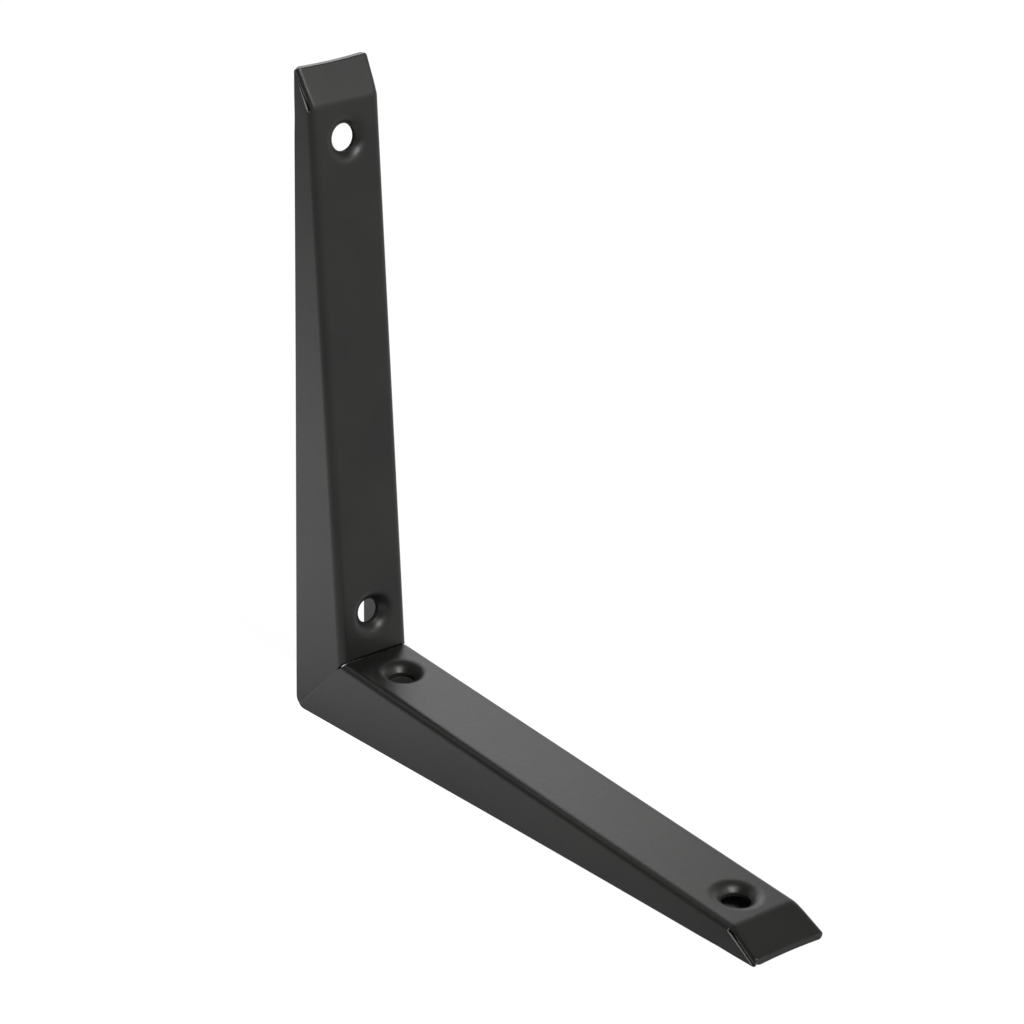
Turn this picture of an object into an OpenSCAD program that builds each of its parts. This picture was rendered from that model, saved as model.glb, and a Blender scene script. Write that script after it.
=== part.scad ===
// Corner brace bracket folded from sheet steel: two equal channel arms at a right angle.
// Each channel is deepest at the mitred corner and tapers towards its tip, where a tab is
// turned down over the slanted ends of the flanges. The webs face the inside of the corner.
// The free edges of the flanges lie on the wall plane and on the shelf plane.
// +X runs along the shelf arm away from the wall, +Z runs up the wall arm and Y is the width.
// The origin is under the middle of the shelf arm, on the shelf plane. All sizes are in mm.

/* [Arms] */
// Length of each arm, from the outer corner to the end of its tab, were its edges sharp
arm_length = 200.3; // [150:0.1:300]
// Width of the web, measured over the bends
channel_width = 25; // [22:0.5:40]
// Height of the web above the flange edges at the inner crease
corner_depth = 21; // [16:0.5:30]
// Height of the web above the flange edges at the fold of the tab
tip_depth = 7.1; // [6.5:0.1:10]
// Thickness of the sheet
sheet = 1.5; // [1:0.1:2]
// Outer radius of the bends between the web and the flanges
bend_radius = 2.5; // [2.2:0.1:3]
// Outward lean of the flanges from square, in degrees
flange_lean = 3.5; // [0:0.5:6]

/* [Corner] */
// Radius of the outer corner, seen from the side
corner_round = 3.5; // [1:0.5:6]
// Gap between the two webs along the crease
crease_gap = 0.3; // [0.2:0.05:0.5]
// Wider gap between the bends at both ends of the crease
relief_gap = 0.6; // [0.4:0.1:1.5]
// Depth of the gap, measured from the crease along the mitre
gap_depth = 2.8; // [2.8:0.1:4]

/* [Tabs] */
// Slope of the tab from the shelf plane, in degrees
tab_slope = 26; // [20:1:32]
// Width of the tab
tab_width = 24.1; // [21:0.1:24.5]
// Radius of the outer edges of the tab, along its sides and its end
tab_edge = 1.4; // [0.8:0.1:1.4]
// Height of the lowest edge of the tab above the shelf plane
tab_lift = 0.2; // [0.1:0.1:1]
// Outer radius of the fold between the web and the tab
fold_radius = 6.5; // [4:0.5:8]
// Radius of the two corners of the tab
tab_corner = 0.75; // [0.5:0.25:3]
// Hollow of the end edge of the tab, at its middle
tab_hollow = 0.4; // [0.1:0.1:1]
// Gap between the back of the tab and the slanted ends of the flanges
tab_gap = 0.5; // [0.3:0.1:1.5]

/* [Screw holes] */
// Diameter of the hole near the tip of each arm
tip_hole_d = 8.1; // [5:0.1:9]
// Diameter of the hole near the corner on each arm
corner_hole_d = 7.4; // [5:0.1:9]
// Distance of the tip hole from the end of the tab, along the arm
tip_hole_in = 22.3; // [22:0.1:50]
// Distance of the corner hole from the outer corner, along the arm
corner_hole_in = 34; // [34:0.5:60]
// Diameter of the dimple round each hole
dimple_d = 16; // [14:0.5:16.5]
// Slope of the wall of the dimple, in degrees
dimple_slope = 48; // [35:1:52]
// Radius of the shoulder where the dimple leaves the web
dimple_shoulder = 4.5; // [2.5:0.1:4.8]
// Length of the wall of each hole, flattened from the back
hole_wall = 1.2; // [0.8:0.1:1.6]

/* [Hidden] */
$fn = 96;
steel = [0.10, 0.10, 0.09];
// Space by which cutting shapes pass the metal
past = 10;
// Step by which the fold stays inside the flat parts that it joins
seam = 0.005;
// Height of the outer face of the tab at its end
tab_end_z = tab_lift + sheet * cos(tab_slope);
// Where the outer faces of web and tab would meet, were the fold sharp
fold_x = arm_length - (tip_depth - tab_end_z) / tan(tab_slope);
// Slope of the web towards the tip
taper = atan2(corner_depth - tip_depth, fold_x - corner_depth);
// Angle turned by the fold, and the length that its curve takes on each side
fold_turn = tab_slope - taper;
fold_run = fold_radius * tan(fold_turn / 2);
// Lengths along the slanted web from the crease, and along the tab from the end of the fold
web_length = (fold_x - corner_depth) / cos(taper) - fold_run;
tab_length = (tip_depth - tab_end_z) / sin(tab_slope) - fold_run;
// Depth below the web at which the slanted end of the flanges starts
end_step = (sheet + tab_gap - fold_run * sin(fold_turn)) / cos(fold_turn);
// Half of the flat part of the web between the bends
half_flat = channel_width / 2 - bend_radius;
// Length of flange that reaches past the shelf plane before it is trimmed
flange_reach = corner_depth + past;
// Radius of the circle that hollows the end edge of the tab
hollow_radius = pow(tab_width, 2) / (8 * tab_hollow) + tab_hollow / 2;

// Moves what is drawn on a flat sheet onto the web of the shelf arm.
// X runs from the crease to the tip, Y across the web, and the outer face is at Z = 0.
module on_web() {
    translate([corner_depth, 0, corner_depth]) rotate([0, taper, 0]) children();
}

// Turns a side view drawn in X and Z into a bar across the width
module across(width) {
    rotate([90, 0, 0]) linear_extrude(height = width, center = true) children();
}

// Places something at the end of the web, where the fold begins
module at_fold() {
    on_web() translate([web_length, 0, 0]) children();
}

// Sector of the sheet round a bend, from straight up round to the right by a turn
module bend_sector(radius, turn) {
    intersection() {
        difference() {
            circle(radius);
            circle(radius - sheet);
        }
        square(2 * radius);
        rotate(90 - turn) square(2 * radius);
    }
}

// One bend and its flange in the cross-section, on the +Y side
module section_side() {
    translate([half_flat, -bend_radius]) {
        bend_sector(bend_radius, 90 - flange_lean);
        rotate(flange_lean) translate([bend_radius - sheet, -flange_reach])
            square([sheet, flange_reach]);
    }
}

// Cross-section of the channel, with the outer face of the web at zero height
module section() {
    translate([-half_flat, -sheet]) square([2 * half_flat, sheet]);
    section_side();
    mirror([1, 0]) section_side();
}

// Side view of the room for the channel: mitre, shelf plane and round outer corner
module channel_side() {
    top = corner_depth + past;
    difference() {
        polygon([[0, 0], [top, top], [arm_length + past, top], [arm_length + past, 0]]);
        difference() {
            square(corner_round);
            translate([corner_round, corner_round]) circle(corner_round);
        }
    }
}

// Side view of what is cut away past the web: square at first, then along the tab
module end_cut() {
    reach = arm_length;
    polygon([
        [0, past],
        [0, -end_step],
        [reach * cos(fold_turn), -end_step - reach * sin(fold_turn)],
        [reach, past]
    ]);
}

// Tapered channel of the shelf arm, up to the fold of the tab
module channel() {
    difference() {
        intersection() {
            on_web() translate([-corner_depth - past, 0, 0]) rotate([90, 0, 90])
                linear_extrude(height = corner_depth + past + arm_length) section();
            across(2 * channel_width) channel_side();
        }
        at_fold() across(2 * channel_width) end_cut();
    }
}

// Outline of the tab seen square on, with X from the end of the fold to the end edge
module tab_outline() {
    difference() {
        union() {
            translate([-past, -tab_width / 2]) square([past + tab_length - tab_corner, tab_width]);
            translate([-past, tab_corner - tab_width / 2])
                square([past + tab_length, tab_width - 2 * tab_corner]);
            for (side = [-1, 1])
                translate([tab_length - tab_corner, side * (tab_width / 2 - tab_corner)])
                    circle(tab_corner);
        }
        translate([tab_length - tab_hollow + hollow_radius, 0]) circle(hollow_radius, $fn = 360);
    }
}

// Tab seen end on, as a bar with round outer edges and its outer face at height 0
module tab_bar(width) {
    straight = width - 2 * tab_edge;
    translate([-width / 2, -past]) square([width, past - tab_edge]);
    translate([-straight / 2, -past]) square([straight, past]);
    for (side = [-1, 1])
        translate([side * straight / 2, -tab_edge]) circle(tab_edge);
}

// Side view of the flat part of the tab, with its end edge rounded
module tab_side() {
    translate([0, -past]) square([tab_length - tab_edge, past]);
    translate([0, -past]) square([tab_length, past - tab_edge]);
    translate([tab_length - tab_edge, -tab_edge]) circle(tab_edge);
}

// Sheet of the fold as a full ring round its axis
module fold_ring() {
    rotate([90, 0, 0]) rotate_extrude() intersection() {
        translate([fold_radius - seam, 0]) rotate(-90) tab_bar(tab_width - 2 * seam);
        translate([fold_radius - sheet + seam, -channel_width]) square([sheet, 2 * channel_width]);
    }
}

// Fold and tab that close the tip
module tab() {
    block = [2 * fold_radius, 2 * channel_width, 2 * fold_radius];
    at_fold() translate([0, 0, -fold_radius]) {
        intersection() {
            fold_ring();
            translate([0, -channel_width, 0]) cube(block);
            rotate([0, fold_turn, 0]) translate([-block[0], -channel_width, 0]) cube(block);
        }
        rotate([0, fold_turn, 0]) translate([0, 0, fold_radius - sheet])
            intersection() {
                linear_extrude(height = sheet) tab_outline();
                translate([0, 0, sheet]) rotate([90, 0, 90]) linear_extrude(height = tab_length)
                    tab_bar(tab_width);
                translate([0, 0, sheet]) across(2 * channel_width) tab_side();
            }
    }
}

// Dimpled seat round a hole, with the outer face of the web at Z = 0
module dimple(hole_d) {
    rim_r = dimple_d / 2;
    turn_r = rim_r - dimple_shoulder * sin(dimple_slope);
    turn_z = -dimple_shoulder * (1 - cos(dimple_slope));
    seat_z = turn_z - (turn_r - hole_d / 2) * tan(dimple_slope);
    rotate_extrude() difference() {
        union() {
            translate([rim_r, -dimple_shoulder]) mirror([1, 0])
                bend_sector(dimple_shoulder, dimple_slope);
            translate([turn_r, turn_z]) rotate(dimple_slope) translate([-rim_r, -sheet])
                square([rim_r, sheet]);
        }
        translate([-past, seat_z - hole_wall - past]) square([past + rim_r, past]);
        translate([-past, -past]) square([past + hole_d / 2, 2 * past]);
    }
}

// Places something at a hole of the shelf arm, by its distance from the outer corner
module at_hole(distance) {
    on_web() translate([(distance - corner_depth) / cos(taper), 0, 0]) children();
}

// Gap along the crease, widened at both ends where the bends meet
module crease() {
    half = channel_width / 2;
    translate([corner_depth, 0, corner_depth]) rotate([0, -45, 0]) {
        translate([-gap_depth, -half, -crease_gap / 2]) cube([gap_depth + past, 2 * half, crease_gap]);
        for (side = [-1, 1])
            translate([-gap_depth, side * (half + half_flat) / 2 - (half - half_flat) / 2, -relief_gap / 2])
                cube([gap_depth + past, half - half_flat, relief_gap]);
    }
}

// Shelf arm with its tab and its two dimpled holes
module arm() {
    difference() {
        union() {
            channel();
            tab();
        }
        for (distance = [arm_length - tip_hole_in, corner_hole_in])
            at_hole(distance) translate([0, 0, -sheet - past]) cylinder(d = dimple_d, h = sheet + 2 * past);
    }
    at_hole(arm_length - tip_hole_in) dimple(tip_hole_d);
    at_hole(corner_hole_in) dimple(corner_hole_d);
}

// Both arms joined along the mitre, one on the shelf plane and one on the wall plane
module bracket() {
    color(steel) translate([-arm_length / 2, 0, 0]) difference() {
        union() {
            arm();
            mirror([1, 0, -1]) arm();
        }
        crease();
    }
}

bracket();
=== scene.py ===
"""Looks of the corner brace bracket: one sheet of steel, folded, dimpled and coated satin black.

Lengths are in millimetres and turn into metres where a mesh, a lamp or the camera is made.
"""
import math

import bmesh
import bpy
from mathutils import Matrix, Vector


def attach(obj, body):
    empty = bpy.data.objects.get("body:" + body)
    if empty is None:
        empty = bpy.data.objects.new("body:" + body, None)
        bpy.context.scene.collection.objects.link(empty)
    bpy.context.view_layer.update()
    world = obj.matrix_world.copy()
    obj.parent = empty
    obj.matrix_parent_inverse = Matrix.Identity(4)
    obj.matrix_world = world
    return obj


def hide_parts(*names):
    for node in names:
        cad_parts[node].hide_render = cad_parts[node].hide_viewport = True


MM = 0.001

# Arms
ARM = 200.3
WIDTH = 25.0
CORNER_DEPTH = 21.0
TIP_DEPTH = 7.1
SHEET = 1.5
BEND = 2.5
LEAN = math.radians(3.5)
CORNER_ROUND = 3.5
CREASE_GAP = 0.3
RELIEF = 0.42

# Tabs
TAB_SLOPE = math.radians(26)
TAB_WIDTH = 24.1
TAB_EDGE = 1.4
TAB_LIFT = 0.2
TAB_CORNER = 0.75
TAB_HOLLOW = 0.4
TAB_GAP = 0.5
FOLD = 6.5

# Screw holes, each with its diameter and its place along the arm from the outer corner
HOLES = ((7.4, 34.0), (8.1, ARM - 22.3))
DIMPLE = 16.0
DIMPLE_SLOPE = math.radians(48)
SHOULDER = 4.5
HOLE_WALL = 1.2

# Rounding of all rims, as a radius and as the share of the thickness that it may take
RIM_ROUND = 0.22
RIM_SHARE = 0.45

# Dressed weld seam on the mitre, hollow by a little; it starts below the bend and deepens
SEAM_WIDTH = 0.45
SEAM_DEPTH = 0.10
SEAM_START = 3.0
SEAM_FADE = 12.0

# Pinch in the free edges of the flanges, by its distance along the arm, and start of the flare
PINCH_DEPTH = 0.12
PINCH_AT = 185.0
PINCH_WIDTH = 4.0
PINCH_HEIGHT = 2.5
FLARE_FROM = 80.0

# Tab as pressed: roll of its sides, edge, place and slant of its end, and spread towards its end
TAB_ROLL = 1.25
END_EDGE = 0.3
END_BACK = 0.6
END_SLANT = 0.15
TAB_SPREAD = 0.75

# For each arm: flare of the near flange, its reach past the CAD one and skew of the tab
SHELF_FORM = (0.92, 0.1, 0.5)
WALL_FORM = (0.3, -0.3, 0.6)
FAR_REACH = -1.2

# Floor, in metres: half sizes of the painted shade, a darker floor under the shelf arm, and middle
# of a painted pool of light beside the wall arm; then how bright the floor looks there and
# elsewhere
PAINTED_SHADE_AREA = (0.0985, 0.0127, 1.0)
PAINTED_LIGHT_SPOT = (-0.26, -0.14, 0.0)
PAINTED_LIGHT_GLOW = 2.6
FLOOR_WHITE = 1.02

# Sizes that follow from those above
TAB_END_Z = TAB_LIFT + SHEET * math.cos(TAB_SLOPE)
FOLD_X = ARM - (TIP_DEPTH - TAB_END_Z) / math.tan(TAB_SLOPE)
TAPER = math.atan2(CORNER_DEPTH - TIP_DEPTH, FOLD_X - CORNER_DEPTH)
TURN = TAB_SLOPE - TAPER
FOLD_RUN = FOLD * math.tan(TURN / 2)
WEB = (FOLD_X - CORNER_DEPTH) / math.cos(TAPER) - FOLD_RUN
TAB = (TIP_DEPTH - TAB_END_Z) / math.sin(TAB_SLOPE) - FOLD_RUN
END_STEP = (SHEET + TAB_GAP - FOLD_RUN * math.sin(TURN)) / math.cos(TURN)
HALF_FLAT = WIDTH / 2 - BEND
HALF_TAB = TAB_WIDTH / 2
BEND_END = math.pi / 2 - LEAN
TAB_BEND = math.asin((HALF_TAB - HALF_FLAT) / BEND)
STEP_BEND = math.acos(1 - END_STEP / BEND)
MITRE_SKEW = math.pi / 4 - TAPER


def smooth(x):
    """Eases from 0 to 1 as x goes from 0 to 1."""
    x = min(max(x, 0.0), 1.0)
    return x * x * (3 - 2 * x)


def steps(start, end, count, ease=1.0):
    """Count cells from start to end; an ease under 1 makes the first cells finer."""
    return [start + (end - start) * (i / count) ** (1 / ease) for i in range(count + 1)]


def web_point(s, y, w):
    """A point by its distance from the crease, its place across and its depth below the web."""
    x = CORNER_DEPTH + s * math.cos(TAPER) - w * math.sin(TAPER)
    z = CORNER_DEPTH - s * math.sin(TAPER) - w * math.cos(TAPER)
    return Vector((x, y, z))


def web_depth(x, z):
    """Depth below the web of a point in the side view."""
    return -((x - CORNER_DEPTH) * math.sin(TAPER) + (z - CORNER_DEPTH) * math.cos(TAPER))


def mitre_s(depth, gap):
    """Where the sheet starts at a depth, with a gap between it and the other arm."""
    return gap / 2 / math.cos(MITRE_SKEW) - depth * math.tan(MITRE_SKEW)


class Sheet:
    """The outer face of the sheet, as quads whose points also know the point behind them."""

    # Distance within which points of two patches are joined
    WELD = 0.004

    def __init__(self):
        self.bm = bmesh.new()
        self.back = [self.bm.verts.layers.float.new("back_" + axis) for axis in "xyz"]
        self.highlight_mask = self.bm.verts.layers.float.new("painted_end_highlight")
        self.bore = self.bm.verts.layers.float.new("bore")
        self.rounding = self.bm.edges.layers.float.new("bevel_weight_edge")

    def point(self, outer, inner):
        """One point of the outer face, with the point of the inner face behind it."""
        vert = self.bm.verts.new(outer)
        for layer, value in zip(self.back, inner):
            vert[layer] = value
        return vert

    def patch(self, rows, flip=False, closed=False):
        """Rows of (outer, inner) pairs become a grid of quads."""
        grid = [[self.point(outer, inner) for outer, inner in row] for row in rows]
        for low, high in zip(grid, grid[1:]):
            pairs = list(zip(low, low[1:] + low[:1], high[1:] + high[:1], high))
            for quad in pairs if closed else pairs[:-1]:
                self.bm.faces.new(quad if flip else quad[::-1])

    def thicken(self):
        """Welds the patches, then adds the inner face and the rims, with their edges rounded."""
        bm = self.bm
        bmesh.ops.remove_doubles(bm, verts=bm.verts, dist=self.WELD)
        outer = list(bm.verts)
        rims = [edge for edge in bm.edges if edge.is_boundary]
        faces = list(bm.faces)
        behind = {v: bm.verts.new([v[layer] for layer in self.back]) for v in outer}
        for face in faces:
            bm.faces.new([behind[v] for v in reversed(face.verts)])
        for edge in rims:
            loop = edge.link_loops[0]
            a, b = loop.vert, loop.link_loop_next.vert
            bm.faces.new((b, a, behind[a], behind[b]))
        for edge in rims:
            a, b = edge.verts
            rim = min((v.co - behind[v].co).length for v in (a, b))
            weight = min(1.0, RIM_SHARE * rim / RIM_ROUND)
            edge[self.rounding] = weight
            bm.edges.get((behind[a], behind[b]))[self.rounding] = weight
            for vert in (a, b):
                self.mark(vert, behind[vert], rim)

    def mark(self, vert, behind, rim):
        """Marks flange ends for a painted highlight, and hole walls for a dull coat."""
        along, height = max(vert.co.x, vert.co.z), min(vert.co.x, vert.co.z)
        clear_of_plane, near_tip = 0.05, 0.8 * ARM
        # The end of the tab has a longer rim than the wall of a hole
        hole_rim = HOLE_WALL + 0.1
        # Slanted flange ends take the paler coat colour, a painted highlight along their rims
        if abs(vert.co.y) > HALF_TAB and height > clear_of_plane and along > near_tip:
            vert[self.highlight_mask] = 1
        elif abs(vert.co.y) < HALF_FLAT / 2 and rim < hole_rim:
            vert[self.bore] = behind[self.bore] = 1


# Cells of the grid: along the web, then across the rest of a bend, down a flange, over the
# shoulder of a dimple, round the fold and along the tab
BLOCK_CELLS, MIDDLE_CELLS, TIP_CELLS = 18, 46, 2
BEND_CELLS, FLANGE_CELLS, SHOULDER_CELLS, FOLD_CELLS, TAB_CELLS = 7, 12, 7, 6, 5

# Places of the grid lines along the web, from the crease to the fold of the tab
BLOCK = 8.8
CORNER_END = 3.0
HOLE_S = [(at - CORNER_DEPTH) / math.cos(TAPER) for _, at in HOLES]
START = [0.0, 0.2, 0.45, 0.8, 1.3, 2.0, CORNER_END, HOLE_S[0] - BLOCK]
ROWS = list(START)
for low, high, cells in ((ROWS[-1], HOLE_S[0] + BLOCK, BLOCK_CELLS),
                         (HOLE_S[0] + BLOCK, HOLE_S[1] - BLOCK, MIDDLE_CELLS),
                         (HOLE_S[1] - BLOCK, HOLE_S[1] + BLOCK, BLOCK_CELLS),
                         (HOLE_S[1] + BLOCK, WEB, TIP_CELLS)):
    ROWS += steps(low, high, cells)[1:]
CORNER_ROWS = START.index(CORNER_END)

# Grid lines across: the flat web, the part of each bend that the tab keeps, and the rest
FLAT_Y = [0, 1.2, 2.4, 3.6, 4.8, 6.0, 7.1, 8.1, 9.0, 9.6, HALF_FLAT]
ACROSS = [-y for y in reversed(FLAT_Y[1:])] + FLAT_Y
BENDS = [TAB_BEND * part for part in (0.22, 0.42, 0.6, 0.74, 0.85, 0.93, 0.98, 1.0)]
KEPT = len(BENDS)
BENDS += steps(TAB_BEND, BEND_END, BEND_CELLS)[1:]


def row_s(i, depth, gap):
    """Place of grid line i at a depth: it follows the mitre at first and is square later on."""
    fade = 1 - smooth(ROWS[i] / START[-1])
    s = ROWS[i] + mitre_s(depth, gap) * fade
    if i == len(ROWS) - 1 and depth > BEND / 2:
        x, z = end_line(depth)
        s = (x - CORNER_DEPTH) * math.cos(TAPER) - (z - CORNER_DEPTH) * math.sin(TAPER)
    return s


def end_line(depth):
    """Side view of the slanted end of the flanges: the point at a depth below the web."""
    start = web_point(WEB, 0, 0)
    step = start - END_STEP * Vector((math.sin(TAPER), 0, math.cos(TAPER)))
    past = (depth - END_STEP) / math.sin(TURN)
    return step.x + past * math.cos(TAB_SLOPE), step.z - past * math.sin(TAB_SLOPE)


def bend_pair(i, phi, side):
    """Outer and inner point of a bend, at an angle from the flat web."""
    relief = RELIEF * math.sin(phi / BEND_END * math.pi) ** 0.5 if phi < BEND_END else 0
    gap = max(relief, CREASE_GAP * (1 - phi / BEND_END))
    step_turn = math.radians(6)
    pair = []
    for radius in (BEND, BEND - SHEET):
        depth = BEND - radius * math.cos(phi)
        y = side * (HALF_FLAT + radius * math.sin(phi))
        s = row_s(i, depth, gap)
        if i == len(ROWS) - 1:
            s = WEB + (s - WEB) * smooth((phi - STEP_BEND) / step_turn)
        pair.append(web_point(s, y, depth))
    return pair


def flat_pair(i, y):
    """Outer and inner point of the flat web."""
    return [web_point(row_s(i, depth, CREASE_GAP), y, depth) for depth in (0, SHEET)]


def web_patches(sheet):
    """Flat web between the dimples, and both bends from the crease to the tip."""
    corner, last = len(START) - 1, len(ROWS) - 1
    middle = corner + BLOCK_CELLS
    spans = ((0, corner), (middle, middle + MIDDLE_CELLS), (last - TIP_CELLS, last))
    for low, high in spans:
        sheet.patch([[flat_pair(i, y) for y in ACROSS] for i in range(low, high + 1)])
    for side in (1, -1):
        rows = [[flat_pair(i, side * HALF_FLAT)] + [bend_pair(i, phi, side) for phi in BENDS]
                for i in range(len(ROWS))]
        sheet.patch(rows, flip=side < 0)


def dimple_rings(hole):
    """Outer and inner (radius, depth) of each ring of a dimple, from its rim to the hole.

    Inside, the slope ends one ring earlier, where the flat round the back of the hole begins.
    """
    rim, r_hole = DIMPLE / 2, hole / 2
    rings = []
    for psi in steps(0, DIMPLE_SLOPE, SHOULDER_CELLS):
        rings.append([(rim - r * math.sin(psi), SHOULDER - r * math.cos(psi))
                      for r in (SHOULDER, SHOULDER - SHEET)])
    (r_out, w_out), (r_in, w_in) = rings[-1]
    slope = math.tan(DIMPLE_SLOPE)
    flat = w_out + (r_out - r_hole) * slope + HOLE_WALL
    flat_r = r_in - (flat - w_in) / slope
    for part in (1 / 3, 2 / 3, 1):
        outer_r = r_out + (r_hole - r_out) * part
        inner_r = r_in + (flat_r - r_in) * part * 3 / 2 if part < 1 else r_hole
        rings.append([(outer_r, w_out + (r_out - outer_r) * slope),
                      (inner_r, min(w_in + (r_in - inner_r) * slope, flat))])
    return rings


def dimple_patch(sheet, s_hole, hole):
    """Block of web round one hole: a rectangle outside, circles inside."""
    along = [s_hole + s for s in steps(-BLOCK, BLOCK, BLOCK_CELLS)]
    edge = [(s, -HALF_FLAT) for s in along]
    edge += [(along[-1], y) for y in ACROSS[1:]]
    edge += [(s, HALF_FLAT) for s in reversed(along[:-1])]
    edge += [(along[0], y) for y in ACROSS[-2:0:-1]]
    rim = DIMPLE / 2
    rows = [[[web_point(s, y, depth) for depth in (0, SHEET)] for s, y in edge]]
    for share in (0.4, 0.75):
        row = []
        for s, y in edge:
            reach = math.hypot(s - s_hole, y)
            scale = (reach + (rim - reach) * share) / reach
            row.append([web_point(s_hole + (s - s_hole) * scale, y * scale, depth)
                        for depth in (0, SHEET)])
        rows.append(row)
    for pair in dimple_rings(hole):
        row = []
        for s, y in edge:
            reach = math.hypot(s - s_hole, y)
            row.append([web_point(s_hole + (s - s_hole) / reach * r, y / reach * r, depth)
                        for r, depth in pair])
        rows.append(row)
    sheet.patch(rows, closed=True, flip=True)


def flange_patch(sheet, side, flare, reach):
    """One flange, ruled in the side view from the bend down to the free edge."""
    top_depths = (BEND - BEND * math.cos(BEND_END), BEND - (BEND - SHEET) * math.cos(BEND_END))
    step_x, step_z = end_line(END_STEP)
    end_x = step_x + step_z / math.tan(TAB_SLOPE) + reach

    def bottom(i):
        """Side view of the free edge: half of the round corner, then the shelf plane."""
        if i <= CORNER_ROWS:
            angle = math.pi / 4 * (1 - ROWS[i] / ROWS[CORNER_ROWS])
            return (CORNER_ROUND * (1 - math.sin(angle)), CORNER_ROUND * (1 - math.cos(angle)))
        part = (ROWS[i] - ROWS[CORNER_ROWS]) / (ROWS[-1] - ROWS[CORNER_ROWS])
        return (CORNER_ROUND + (end_x - CORNER_ROUND) * part, 0.0)

    rows = []
    for i in range(len(ROWS)):
        foot_x, foot_z = bottom(i)
        row = []
        for v in steps(0, 1, FLANGE_CELLS, ease=0.8):
            pair = []
            for layer, top_depth in enumerate(top_depths):
                top = web_point(row_s(i, top_depth, 0), 0, top_depth)
                x, z = top.x + (foot_x - top.x) * v, top.z + (foot_z - top.z) * v
                y = HALF_FLAT + (BEND - SHEET * layer) * math.sin(BEND_END)
                y += (web_depth(x, z) - top_depth) * math.tan(LEAN)
                pair.append(Vector((x, side * (y + flange_form(x, z, v, flare)), z)))
            row.append(pair)
        rows.append(row)
    sheet.patch(rows, flip=side < 0)


def flange_form(x, z, down, flare):
    """Small departures of a flange from flat: dressed seam, pinch near the tip and flare."""
    off = abs(x - z) / math.sqrt(2)
    deep = smooth((CORNER_DEPTH - (x + z) / 2 - SEAM_START) / SEAM_FADE)
    seam = -SEAM_DEPTH * math.exp(-(off / SEAM_WIDTH) ** 2) * deep
    low = math.exp(-(z / PINCH_HEIGHT) ** 2)
    pinch = -PINCH_DEPTH * math.exp(-((x - PINCH_AT) / PINCH_WIDTH) ** 2) * low
    out = flare * (max(0.0, x - FLARE_FROM) / (ARM - FLARE_FROM)) ** 2 * down
    return seam + pinch + out


def tab_drop(t, y, end):
    """How far the rounded edges of the tab lie below its face; its sides roll more."""
    off_y, off_t = HALF_TAB - abs(y), end - t
    in_y, in_t = TAB_CORNER - off_y, TAB_CORNER - off_t
    if in_y > 0 and in_t > 0:
        off_y = off_t = TAB_CORNER - math.hypot(in_y, in_t)
    drop = 0.0
    for off, edge, roll in ((off_y, TAB_EDGE, TAB_ROLL), (off_t, END_EDGE, END_EDGE)):
        left = 1 - min(max(off / edge, 0.0), 1.0)
        drop = max(drop, roll * (1 - math.sqrt(1 - left * left)))
    return drop


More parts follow.
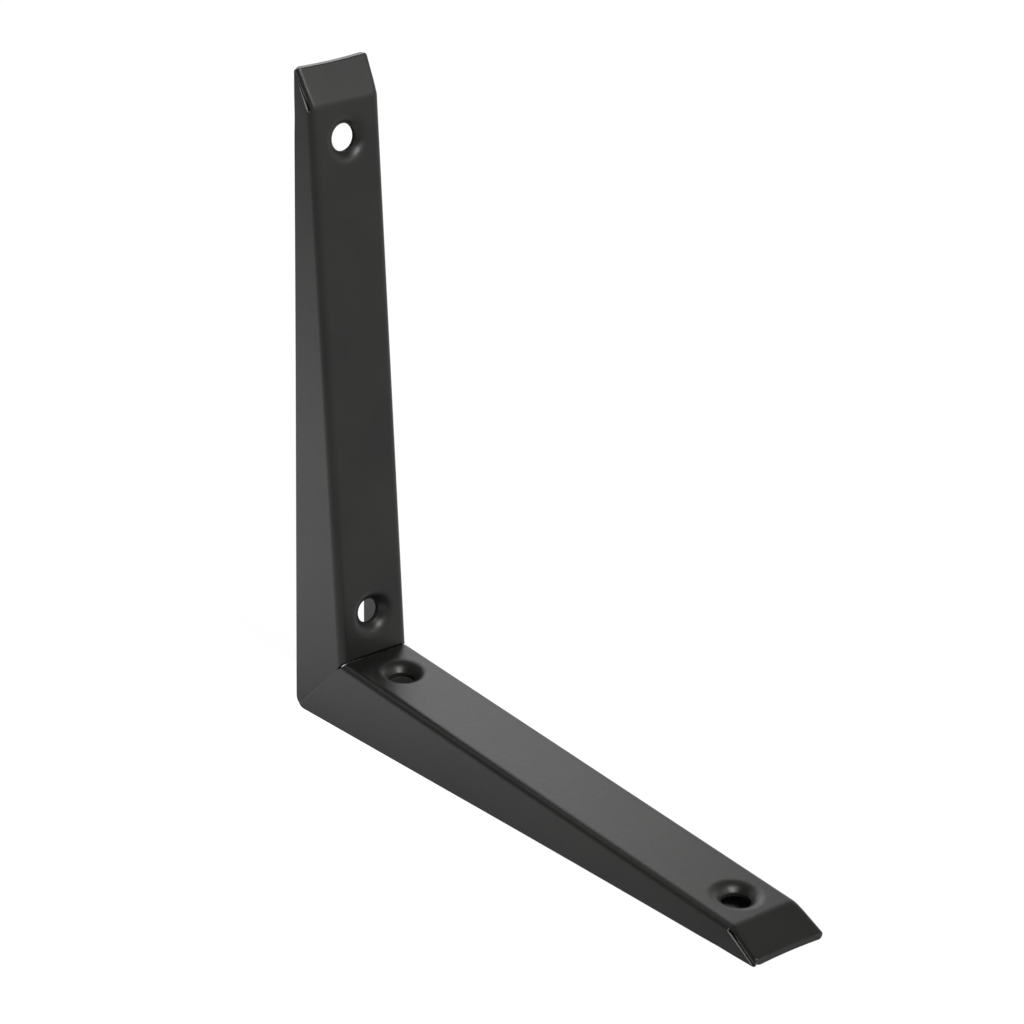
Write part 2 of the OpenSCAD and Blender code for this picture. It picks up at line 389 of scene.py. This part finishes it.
def tab_patch(sheet, skew):
    """Fold and tab: it starts on the bent web and ends in a hollow edge with round corners."""
    bends = [HALF_FLAT + BEND * math.sin(phi) for phi in BENDS[:KEPT]]
    ys = [-y for y in reversed(bends)] + ACROSS + bends
    arc = FOLD * TURN
    # Lengths: of the block at the end, of the part where the bends flatten out, and of those
    # by its sides and by its end where the inner face eases to a square end
    block, flatten, side_room, square = 4.0, 3.0, 1.8, 2.0
    start = TAB - block
    diagonal = TAB_CORNER * (1 - math.cos(math.pi / 4))
    across_end = (HALF_TAB - diagonal) / HALF_TAB

    def end_at(y):
        """Where the hollow end edge runs, were the corners square."""
        return TAB - END_BACK - TAB_HOLLOW * max(0.0, 1 - (y / HALF_TAB) ** 2)

    def end_edge(y):
        """The end edge, with its corners rounded."""
        t = end_at(y)
        over = abs(y) - (HALF_TAB - TAB_CORNER)
        if over > 0:
            t -= TAB_CORNER - math.sqrt(max(0.0, TAB_CORNER ** 2 - over ** 2))
        return t

    def side_edge(part):
        """The side edge, from the start of the end block to the middle of the round corner."""
        t = start + (block - END_BACK - diagonal) * part
        over = t - (TAB - END_BACK - TAB_CORNER)
        if over <= 0:
            return HALF_TAB, t
        return HALF_TAB - TAB_CORNER + math.sqrt(TAB_CORNER ** 2 - over ** 2), t

    def pair_at(t, y):
        """Outer and inner point at a distance past the fold: the bends flatten as t grows."""
        fade = 1 - smooth((t + arc) / (arc + flatten))
        beyond = abs(y) - HALF_FLAT
        pair = []
        for layer, radius in enumerate((BEND, BEND - SHEET)):
            sink, place = 0.0, abs(y)
            if beyond > 0:
                phi = math.asin(min(1.0, beyond / BEND))
                sink = (BEND - radius * math.cos(phi) - layer * SHEET) * fade
                place = abs(y) + (HALF_FLAT + radius * math.sin(phi) - abs(y)) * fade
            if layer == 0:
                sink += tab_drop(t, y, end_at(y)) * (1 - fade)
            below = sink + layer * SHEET
            turn = TURN * min(max((t + arc) / arc, 0.0), 1.0)
            out = max(t, 0) / TAB
            ahead = max(t, 0) + END_SLANT * out * y / HALF_TAB
            if layer == 1:
                near_end = smooth(1 - (end_at(y) - t) / square)
                from_side = smooth((HALF_TAB - abs(y)) / side_room)
                ahead += SHEET * math.tan(TAB_SLOPE) * near_end * from_side
            s = WEB + (FOLD - below) * math.sin(turn) + ahead * math.cos(TURN)
            depth = FOLD - (FOLD - below) * math.cos(turn) + ahead * math.sin(TURN)
            place *= 1 + TAB_SPREAD / HALF_TAB * out
            pair.append(web_point(s, math.copysign(place, y) - skew * out, depth))
        return pair

    before = steps(-arc, 0, FOLD_CELLS) + steps(0, start, TAB_CELLS)[1:]
    rows = [[pair_at(t, y) for y in ys] for t in before]
    for part in (0.2, 0.4, 0.58, 0.68, 0.76, 0.83, 0.89, 0.94, 0.975, 1.0):
        side_y, side_t = side_edge(part)
        corner_y = HALF_TAB + (HALF_TAB * across_end - HALF_TAB) * part
        corner_t = start + (end_edge(HALF_TAB * across_end) - start) * part
        row = []
        for j, y in enumerate(ys):
            place = 2 * j / (len(ys) - 1) - 1
            across = y * across_end
            ruled_y = y + (across - y) * part
            ruled_t = start + (end_edge(across) - start) * part
            row.append(pair_at(ruled_t + side_t - corner_t, ruled_y + (side_y - corner_y) * place))
        rows.append(row)
    sheet.patch(rows)


def arm_sheet(flare, reach, skew):
    """The shelf arm, with its near flange flared by a little and its tab a little askew."""
    sheet = Sheet()
    web_patches(sheet)
    for (hole, _), s_hole in zip(HOLES, HOLE_S):
        dimple_patch(sheet, s_hole, hole)
    flange_patch(sheet, 1, 0, FAR_REACH)
    flange_patch(sheet, -1, flare, reach)
    tab_patch(sheet, skew)
    return sheet


def add_wall_arm(sheet, arm):
    """Adds an arm as the wall arm: X and Z change over."""
    twins = {v: sheet.point((v.co.z, v.co.y, v.co.x), [v[arm.back[k]] for k in (2, 1, 0)])
             for v in arm.bm.verts}
    for face in arm.bm.faces:
        sheet.bm.faces.new([twins[v] for v in reversed(face.verts)])
    arm.bm.free()


def make_bracket():
    """Both arms as one mesh in the shared frame, with rounded rims."""
    sheet = arm_sheet(*SHELF_FORM)
    add_wall_arm(sheet, arm_sheet(*WALL_FORM))
    sheet.thicken()
    bm = sheet.bm
    bmesh.ops.transform(bm, matrix=Matrix.Translation((-ARM / 2, 0, 0)), verts=bm.verts)
    bmesh.ops.scale(bm, vec=(MM, MM, MM), verts=bm.verts)
    for face in bm.faces:
        face.smooth = True
    for axis in "xyz":
        bm.verts.layers.float.remove(bm.verts.layers.float["back_" + axis])
    mesh = bpy.data.meshes.new("folded_bracket")
    bm.to_mesh(mesh)
    bm.free()
    piece = bpy.data.objects.new("folded_bracket", mesh)
    bpy.context.scene.collection.objects.link(piece)
    rim = piece.modifiers.new("rim", "BEVEL")
    rim.limit_method = "WEIGHT"
    rim.width = RIM_ROUND * MM
    rim.segments = 3
    rim.use_clamp_overlap = False
    normals = piece.modifiers.new("normals", "WEIGHTED_NORMAL")
    normals.keep_sharp = False
    return piece


class Nodes:
    """Shorthand for the node tree of a material or of the world."""

    def __init__(self, owner):
        owner.use_nodes = True
        self.tree = owner.node_tree
        self.tree.nodes.clear()

    def add(self, kind, values=None, **settings):
        """Adds a node; its values are linked or set on its inputs, its settings on itself."""
        node = self.tree.nodes.new(kind)
        for name, value in settings.items():
            setattr(node, name, value)
        for name, value in (values or {}).items():
            if isinstance(value, bpy.types.NodeSocket):
                self.tree.links.new(value, node.inputs[name])
            else:
                node.inputs[name].default_value = value
        return node

    def eased(self, value, start, end, low, high):
        """Eases from low to high as a value goes from start to end."""
        values = {"Value": value, "From Min": start, "From Max": end, "To Min": low, "To Max": high}
        return self.add("ShaderNodeMapRange", values, interpolation_type="SMOOTHSTEP").outputs[0]

    def math(self, operation, *values):
        """Works out one operation on up to three values."""
        return self.add("ShaderNodeMath", dict(enumerate(values)), operation=operation).outputs[0]


def coated_steel():
    """Satin black powder coat: fine orange peel and faint clouds in its gloss and tone.

    Its slanted flange ends are painted paler, a painted highlight line, and the walls of the holes
    are dull.
    """
    material = bpy.data.materials.new("satin_black_coat")
    n = Nodes(material)
    place = n.add("ShaderNodeTexCoord").outputs["Object"]
    clouds = n.add("ShaderNodeTexNoise", {"Vector": place, "Scale": 45, "Detail": 3})
    specks = n.add("ShaderNodeTexNoise", {"Vector": place, "Scale": 900, "Detail": 2})
    tone = n.add("ShaderNodeValToRGB", {"Fac": clouds.outputs["Fac"]})
    tone.color_ramp.elements[0].position = 0.35
    tone.color_ramp.elements[0].color = (0.0045, 0.0045, 0.0042, 1)
    tone.color_ramp.elements[1].position = 0.7
    tone.color_ramp.elements[1].color = (0.007, 0.007, 0.006, 1)
    # Paler colour on the slanted flange ends: a painted highlight line along their rims
    highlight_mask = n.add("ShaderNodeAttribute", attribute_name="painted_end_highlight").outputs["Fac"]
    highlight_mask = n.eased(highlight_mask, 0.55, 0.95, 0.0, 1.0)
    # Sockets 6 and 7 of a Mix node are its two colours, and output 2 is the mixed one
    colours = {0: highlight_mask, 6: tone.outputs["Color"], 7: (0.1, 0.1, 0.095, 1)}
    tone = n.add("ShaderNodeMix", colours, data_type="RGBA")
    gloss = n.add("ShaderNodeMapRange", {
        "Value": specks.outputs["Fac"],
        "To Min": 0.33,
        "To Max": 0.43,
    })
    peel = n.add("ShaderNodeTexNoise", {
        "Vector": place,
        "Scale": 620,
        "Detail": 2,
        "Roughness": 0.5,
    })
    bump = n.add("ShaderNodeBump", {
        "Height": peel.outputs["Fac"],
        "Strength": 0.12,
        "Distance": 0.0002,
    })
    shader = n.add("ShaderNodeBsdfPrincipled", {
        "Base Color": tone.outputs[2],
        "Roughness": gloss.outputs["Result"],
        "Normal": bump.outputs["Normal"],
        "Specular IOR Level": 0.25,
    })
    dull = n.add("ShaderNodeBsdfDiffuse", {"Color": (0.012, 0.012, 0.011, 1)})
    bore = n.add("ShaderNodeAttribute", attribute_name="bore").outputs["Fac"]
    bore = n.eased(bore, 0.8, 0.98, 0.0, 1.0)
    mix = n.add("ShaderNodeMixShader", {0: bore, 1: shader.outputs[0], 2: dull.outputs[0]})
    n.add("ShaderNodeOutputMaterial", {"Surface": mix.outputs[0]})
    return material


def pale_floor():
    """White floor to camera and gloss, with painted shade under the arm and a painted pool of
    light.
    """
    material = bpy.data.materials.new("pale_floor")
    n = Nodes(material)
    rays = n.add("ShaderNodeLightPath").outputs
    seen = n.math("ADD", rays["Is Camera Ray"], rays["Is Glossy Ray"])
    seen = n.math("ADD", seen, rays["Is Transmission Ray"])
    place = n.add("ShaderNodeTexCoord").outputs["Object"]
    # Painted shade: under the shelf arm the floor drops its white and takes a darker colour
    under = n.add("ShaderNodeVectorMath", {0: place, 1: PAINTED_SHADE_AREA}, operation="DIVIDE")
    under = n.add("ShaderNodeVectorMath", {0: under.outputs[0]}, operation="ABSOLUTE")
    under = n.add("ShaderNodeSeparateXYZ", {"Vector": under.outputs[0]}).outputs
    under = n.math("MAXIMUM", under["X"], under["Y"])
    share = n.math("MULTIPLY", seen, n.eased(under, 0.97, 1.0, 0.0, 0.9))
    # Painted pool of light: the floor glows brighter than white round a spot in front of the wall
    # arm
    away = n.add("ShaderNodeVectorMath", {0: place, 1: PAINTED_LIGHT_SPOT}, operation="DISTANCE")
    painted_glow = n.eased(away.outputs["Value"], 0.04, 0.36, PAINTED_LIGHT_GLOW - FLOOR_WHITE, 0.0)
    front = n.add("ShaderNodeSeparateXYZ", {"Vector": place}).outputs["Y"]
    front = n.eased(front, -0.05, 0.01, 1.0, 0.0)
    painted_glow = n.math("MULTIPLY_ADD", painted_glow, front, FLOOR_WHITE)
    # Floor colour 0.15 under the arm, 0.8 elsewhere: painted shade
    plain = n.add("ShaderNodeBsdfDiffuse", {"Color": n.eased(under, 0.7, 1.0, 0.15, 0.8)})
    white = n.add("ShaderNodeEmission", {"Color": (1, 1, 1, 1), "Strength": painted_glow})
    mix = n.add("ShaderNodeMixShader", {0: share, 1: plain.outputs[0], 2: white.outputs[0]})
    n.add("ShaderNodeOutputMaterial", {"Surface": mix.outputs[0]})
    return material


def make_floor():
    """Wide floor, in metres, just below the shelf plane."""
    mesh = bpy.data.meshes.new("floor")
    reach = 6.0
    under = -0.05 * MM
    corners = [(x * reach, y * reach, under) for x, y in ((-1, -1), (1, -1), (1, 1), (-1, 1))]
    mesh.from_pydata(corners, [], [(0, 1, 2, 3)])
    floor = bpy.data.objects.new("floor", mesh)
    bpy.context.scene.collection.objects.link(floor)
    floor.data.materials.append(pale_floor())


def soft_lamp(name, at, aim, size, power):
    """Square soft box at a place, facing a point; both in millimetres."""
    data = bpy.data.lights.new(name, "AREA")
    data.shape = "RECTANGLE"
    data.size, data.size_y = size[0] * MM, size[1] * MM
    data.energy = power
    lamp = bpy.data.objects.new(name, data)
    lamp.location = Vector(at) * MM
    lamp.rotation_euler = (Vector(aim) - Vector(at)).to_track_quat("-Z", "Y").to_euler()
    bpy.context.scene.collection.objects.link(lamp)


def studio_world():
    """Soft surround: bright behind the bracket up to half height, dim overhead and in front."""
    world = bpy.data.worlds.new("studio")
    bpy.context.scene.world = world
    n = Nodes(world)
    place = n.add("ShaderNodeTexCoord").outputs["Generated"]
    way = n.add("ShaderNodeSeparateXYZ", {"Vector": place}).outputs
    height = n.eased(way["Z"], 0.25, 0.85, 1.15, 0.25)
    depth = n.eased(way["Y"], -0.85, 0.15, 0.3, 1.0)
    strength = n.math("MULTIPLY", height, depth)
    light = n.add("ShaderNodeBackground", {"Color": (1, 1, 1, 1), "Strength": strength})
    n.add("ShaderNodeOutputWorld", {"Surface": light.outputs[0]})


def make_camera():
    """Camera at the photograph's angle: where it stands, then where it looks."""
    azimuth, elevation, roll_angle = (math.radians(v) for v in (50.098, 23.753, 0.689))
    distance, focal = 1056.521, 3707.994
    image = 1024
    target = Vector((-40.15, 0, 75))
    target_pixel = (-51.25, 17.07)
    back = Vector((math.sin(azimuth) * math.cos(elevation),
                   -math.cos(azimuth) * math.cos(elevation), math.sin(elevation)))
    level = Vector((math.cos(azimuth), math.sin(azimuth), 0))
    right = math.cos(roll_angle) * level + math.sin(roll_angle) * back.cross(level)
    up = back.cross(right)
    place = target + back * distance
    back = (back + right * target_pixel[0] / focal - up * target_pixel[1] / focal).normalized()
    right = (right - back * right.dot(back)).normalized()
    up = back.cross(right)
    data = bpy.data.cameras.new("camera")
    data.sensor_width = 36
    data.lens = data.sensor_width * focal / image
    data.clip_start, data.clip_end = 0.01, 50
    camera = bpy.data.objects.new("camera", data)
    turn = Matrix((right, up, back)).transposed().to_4x4()
    camera.matrix_world = Matrix.Translation(place * MM) @ turn
    bpy.context.scene.collection.objects.link(camera)
    bpy.context.scene.camera = camera


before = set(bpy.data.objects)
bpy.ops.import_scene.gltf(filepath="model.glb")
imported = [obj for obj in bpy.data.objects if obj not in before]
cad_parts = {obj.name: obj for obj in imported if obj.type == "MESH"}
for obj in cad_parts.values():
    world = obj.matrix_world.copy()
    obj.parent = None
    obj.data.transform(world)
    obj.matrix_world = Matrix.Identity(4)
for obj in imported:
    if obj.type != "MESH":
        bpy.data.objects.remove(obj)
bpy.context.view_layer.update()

bracket = make_bracket()
bracket.data.materials.append(coated_steel())
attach(bracket, "root")
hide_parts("bracket")

make_floor()
studio_world()
soft_lamp("key", at=(800, -60, 900), aim=(-60, 0, 90), size=(560, 420), power=17)
soft_lamp("back", at=(-820, 450, 800), aim=(0, 0, 15), size=(800, 750), power=5.6)
soft_lamp("side", at=(780, 680, 640), aim=(-60, 0, 120), size=(360, 300), power=1.4)
soft_lamp("left", at=(-600, -380, 740), aim=(0, 0, 15), size=(400, 400), power=0.9)
make_camera()
bpy.context.scene.view_settings.view_transform = "Standard"
